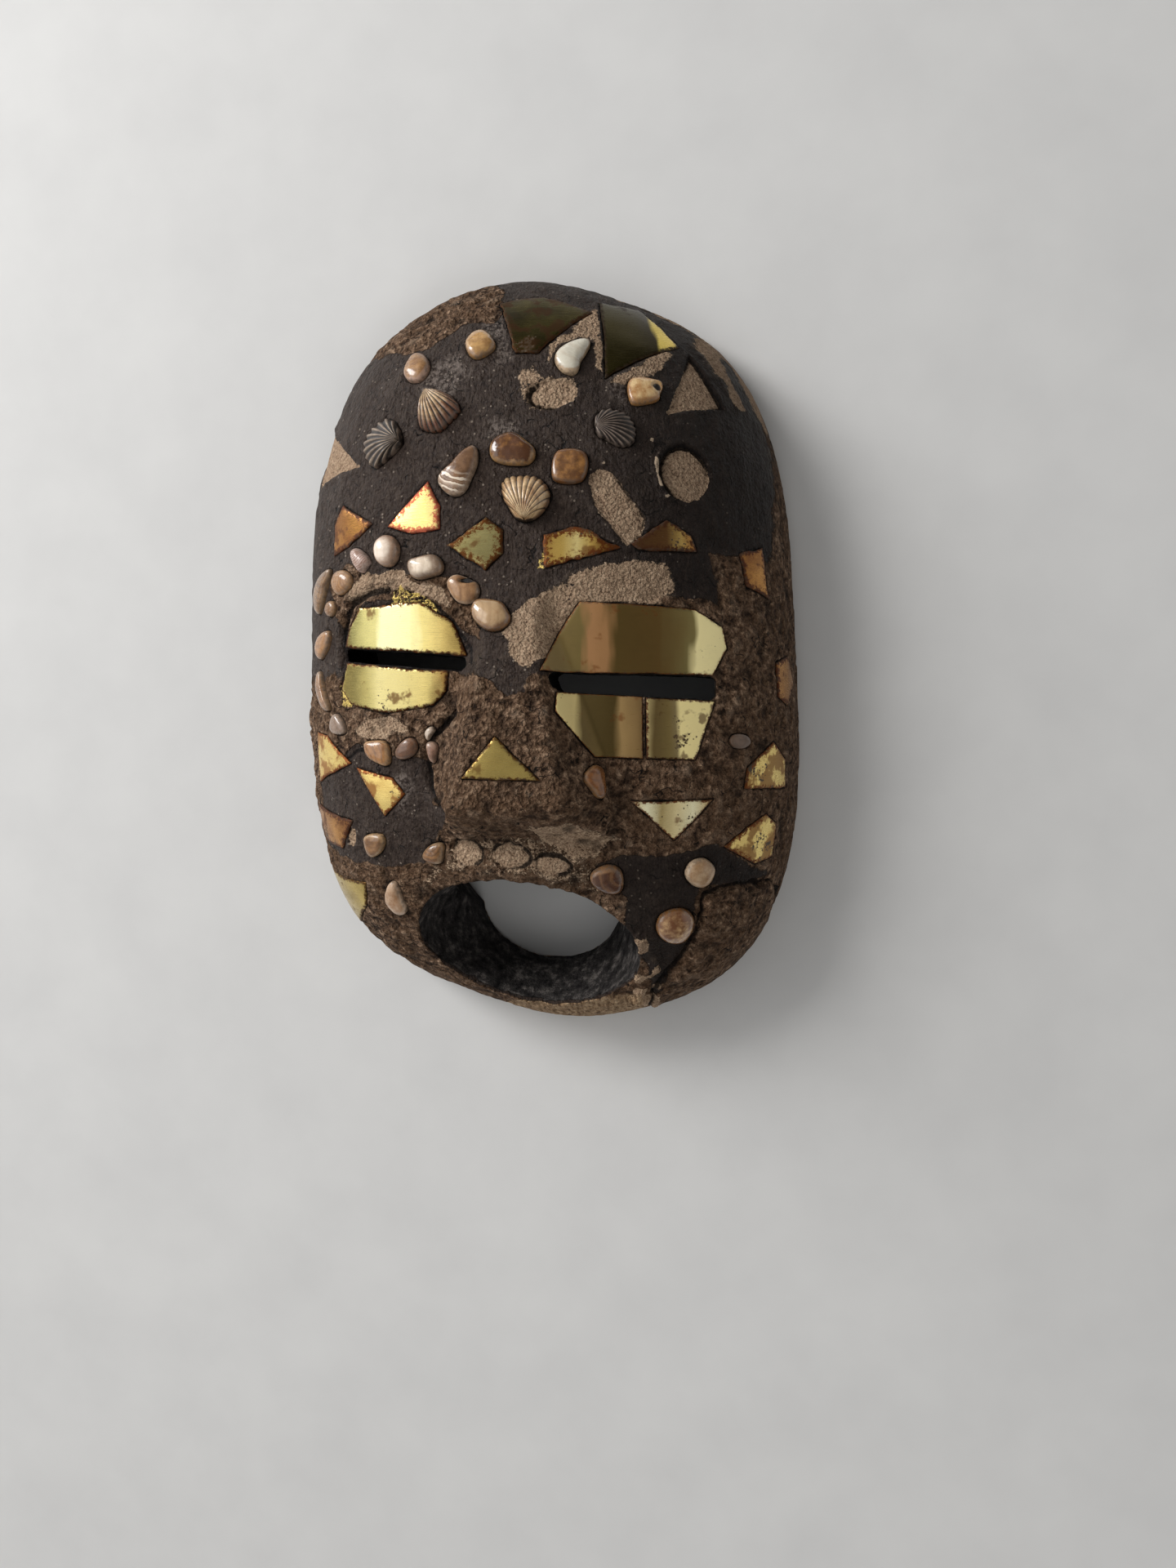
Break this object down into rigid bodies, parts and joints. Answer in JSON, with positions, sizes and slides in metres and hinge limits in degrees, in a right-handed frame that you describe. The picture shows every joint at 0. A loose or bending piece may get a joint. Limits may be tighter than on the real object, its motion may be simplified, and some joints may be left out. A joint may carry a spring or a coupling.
{
  "type": "inlaid wall mask",
  "caption": "Oblong hollow wall mask of dark-pasted wood, inlaid with brass sheet and sea shells, with slit eyes and an open mouth.",
  "frame": {"origin": "under the middle of the mask, in the plane of its open back", "axes": "+Z out of the face, +Y towards the crown, +X towards the viewer's right when the face is seen upright"},
  "size_m": [0.239, 0.356, 0.1168],
  "materials": {
    "dark_paste": "matt dark paste over wood, brown grit and pale sand patches",
    "sheet_brass": "brushed sheet, tarnished at the edges",
    "shell": "smooth glossy shell, brown and cream"
  },
  "bodies": {
    "root": {"mask_body": "dark_paste", "left_upper_lid_plate": "sheet_brass", "left_lower_lid_plate": "sheet_brass", "right_upper_lid_plate": "sheet_brass", "right_lower_lid_inner_plate": "sheet_brass", "right_lower_lid_outer_plate": "sheet_brass", "nose_plate": "sheet_brass", "crown_left_plate": "sheet_brass", "crown_right_plate": "sheet_brass", "brow_left_plate": "sheet_brass", "left_temple_plate": "sheet_brass", "brow_middle_plate": "sheet_brass", "brow_wide_plate": "sheet_brass", "brow_right_plate": "sheet_brass", "right_temple_plate": "sheet_brass", "left_cheek_edge_plate": "sheet_brass", "left_cheek_kite_plate": "sheet_brass", "left_jaw_edge_plate": "sheet_brass", "left_chin_plate": "sheet_brass", "right_cheek_triangle_plate": "sheet_brass", "right_cheek_edge_plate": "sheet_brass", "right_jaw_plate": "sheet_brass", "right_flank_plate": "sheet_brass", "cockle_upper_left": "shell", "cockle_left": "shell", "cockle_upper_right": "shell", "cockle_brow": "shell", "crown_round_shell": "shell", "crown_oval_shell": "shell", "white_drop_shell": "shell", "notched_shell": "shell", "banded_mussel": "shell", "brown_saddle_shell": "shell", "brown_square_shell": "shell", "pearl_oval_shell": "shell", "pearl_bean_shell": "shell", "small_cone_shell": "shell", "temple_leaf_shell": "shell", "temple_sliver_shell": "shell", "temple_long_shell": "shell", "broken_shell": "shell", "cream_round_shell": "shell", "left_flank_upper_shell": "shell", "left_flank_lower_shell": "shell", "left_cheek_pale_shell": "shell", "cheek_tooth_shell_1": "shell", "cheek_tooth_shell_2": "shell", "cheek_tooth_shell_3": "shell", "cheek_crescent_shell": "shell", "left_jaw_shell": "shell", "lip_left_shell": "shell", "chin_cream_shell": "shell", "nose_side_shell": "shell", "buried_shell": "shell", "lip_right_shell": "shell", "cheek_cream_shell": "shell", "jaw_round_shell": "shell"}
  },
  "joints": []
}
